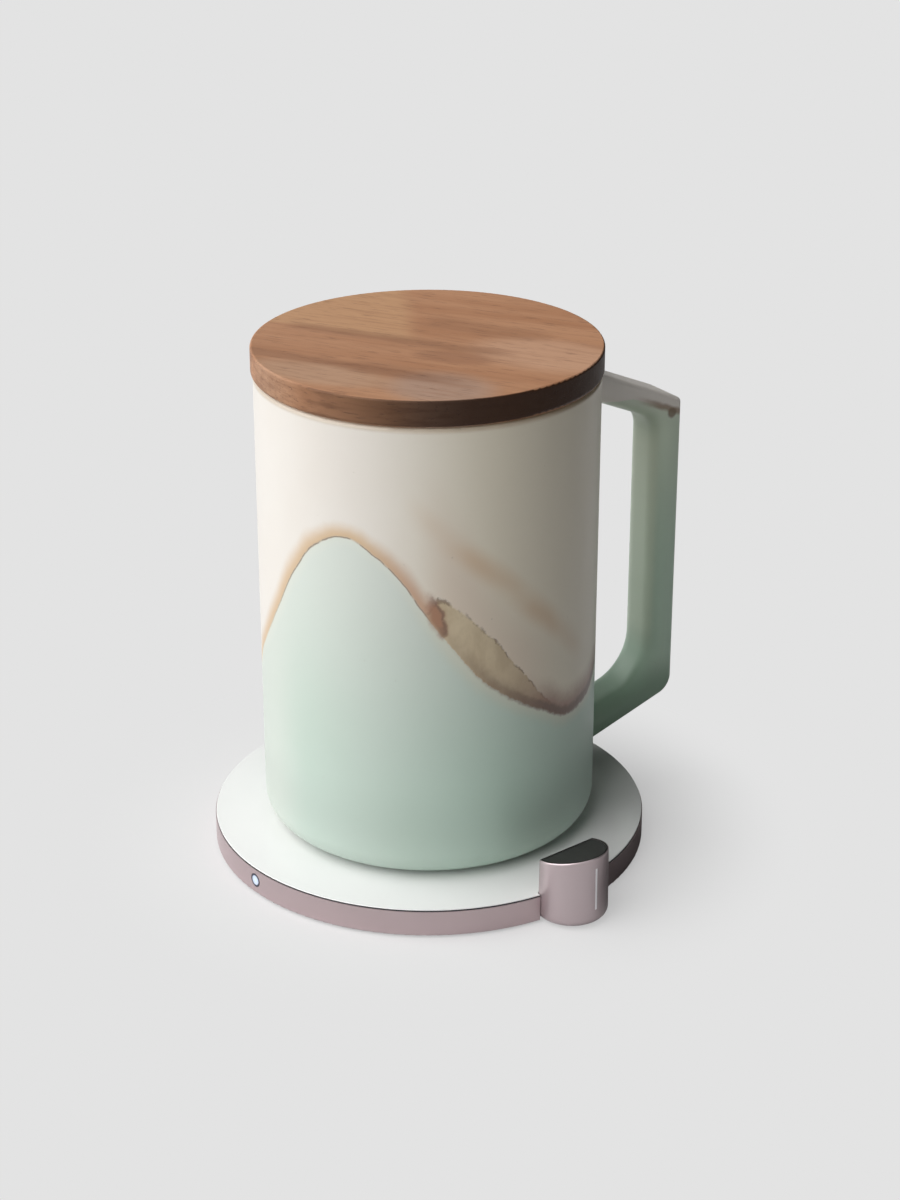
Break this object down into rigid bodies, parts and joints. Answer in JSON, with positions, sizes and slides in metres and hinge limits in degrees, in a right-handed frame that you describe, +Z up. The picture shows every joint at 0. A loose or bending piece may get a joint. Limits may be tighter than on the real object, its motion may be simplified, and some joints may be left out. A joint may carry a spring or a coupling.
{
  "type": "self-heating mug",
  "caption": "Straight ceramic mug with an angular handle and a lift-off walnut lid, standing on a round induction warming pad with a D-shaped touch post at its edge.",
  "frame": {"origin": "middle of the pad's foot, on the table", "axes": "+Z up along the pad's and the mug's axis, +X towards the handle"},
  "size_m": [0.1219, 0.1135, 0.1259],
  "materials": {
    "silicone": "matte",
    "casing": "matte",
    "steel": "satin",
    "mauve_metal": "satin",
    "black_rubber": "matte",
    "white_plate": "gloss",
    "shield_metal": "satin",
    "ferrite": "matte",
    "copper": "satin",
    "insulation": "matte",
    "circuit_board": "satin",
    "chip_black": "matte",
    "lamp_white": "gloss",
    "dark_key": "satin",
    "glaze": "satin",
    "heater_metal": "satin",
    "walnut": "satin"
  },
  "bodies": {
    "pad": {"pad_foot": "silicone", "bottom_cover": "casing", "cover_screws": "steel", "pad_rim": "mauve_metal", "plate_gasket": "black_rubber", "top_plate": "white_plate", "coil_shield": "shield_metal", "transmit_ferrite": "ferrite", "transmit_coil": "copper", "coil_pad": "insulation", "plate_sensor": "chip_black", "driver_board": "circuit_board", "driver_chips": "chip_black", "board_screws": "steel", "status_led": "lamp_white", "status_lens": "lamp_white", "power_socket": "steel", "socket_tongue": "chip_black", "post_shell": "mauve_metal", "post_screws": "steel", "touch_key": "dark_key", "touch_board": "circuit_board", "light_bar": "lamp_white", "light_board": "circuit_board"},
    "mug": {"mug_body": "glaze", "heater_disc": "heater_metal", "heat_blanket": "insulation", "receiver_board": "circuit_board", "receiver_chips": "chip_black", "receiver_ferrite": "ferrite", "receiver_coil": "copper", "base_cover": "casing", "base_seal": "silicone", "mug_foot": "silicone"},
    "lid": {"lid": "walnut", "lid_seal": "silicone"}
  },
  "joints": [
    {"name": "mug_lift", "type": "slide", "parent": "pad", "child": "mug", "axis": [0, 0, 1], "range_m": [0, 0.05]},
    {"name": "lid_lift", "type": "slide", "parent": "mug", "child": "lid", "axis": [0, 0, 1], "range_m": [0, 0.04]}
  ]
}
